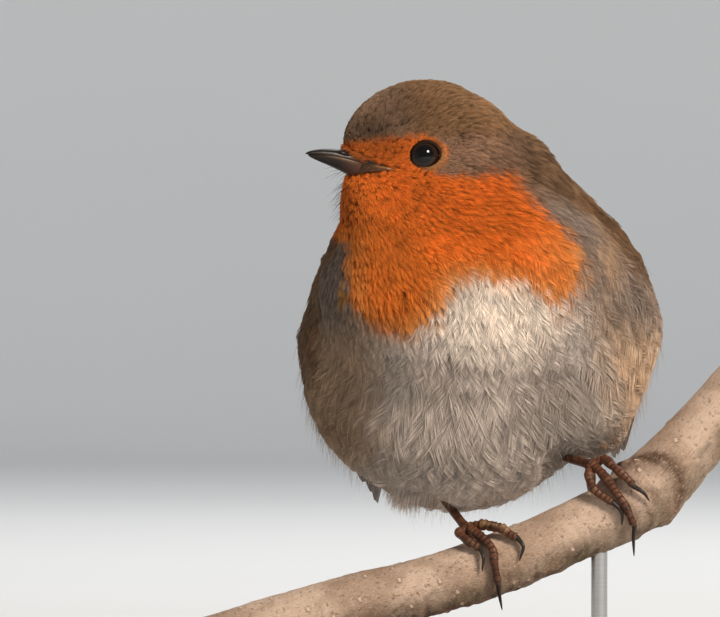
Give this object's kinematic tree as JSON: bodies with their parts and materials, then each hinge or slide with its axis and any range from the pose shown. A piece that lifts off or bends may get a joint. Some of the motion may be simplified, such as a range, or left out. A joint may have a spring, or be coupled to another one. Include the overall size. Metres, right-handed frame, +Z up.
{
  "type": "european robin on a perch, life-size still model",
  "caption": "Life-size still model of a fluffed-up european robin gripping a cut length of branch, held over a flat round base by two short rods.",
  "frame": {"origin": "centre of the flat underside of the stand's round base", "axes": "+Z up; the bird's breast faces -Y and its tail points +Y; its left side is +X, and its head is turned towards -X"},
  "size_m": [0.1062, 0.1381, 0.1261],
  "materials": {
    "orange_plumage": "deep orange feathers with fine barbs, matt",
    "brown_plumage": "olive-brown feathers with darker streaks, matt",
    "pale_plumage": "loose white, grey and buff feathers, matt",
    "dark_horn": "blackish-brown horn with a soft gloss",
    "leg_skin": "red-brown scaled skin, slightly shiny",
    "eye": "near-black, wet gloss",
    "bark": "smooth pale pinkish bark with lenticels, matt",
    "stand_wood": "dark stained wood, satin",
    "rod_steel": "brushed steel rod"
  },
  "bodies": {
    "root": {"head": "brown_plumage", "neck": "orange_plumage", "trunk": "pale_plumage", "wing_left_coverts": "brown_plumage", "wing_left_flight": "brown_plumage", "wing_right_coverts": "brown_plumage", "wing_right_flight": "brown_plumage", "tail": "brown_plumage", "bill_upper": "dark_horn", "bill_lower": "dark_horn", "eye_left": "eye", "eye_right": "eye", "tarsus_left": "leg_skin", "tarsus_right": "leg_skin", "toe_middle_left": "leg_skin", "toe_inner_left": "leg_skin", "toe_outer_left": "leg_skin", "toe_hind_left": "leg_skin", "toe_middle_right": "leg_skin", "toe_inner_right": "leg_skin", "toe_outer_right": "leg_skin", "toe_hind_right": "leg_skin", "claw_middle_left": "dark_horn", "claw_inner_left": "dark_horn", "claw_outer_left": "dark_horn", "claw_hind_left": "dark_horn", "claw_middle_right": "dark_horn", "claw_inner_right": "dark_horn", "claw_outer_right": "dark_horn", "claw_hind_right": "dark_horn", "perch": "bark", "stand_base": "stand_wood", "stand_rod_left": "rod_steel", "stand_rod_right": "rod_steel"}
  },
  "joints": []
}
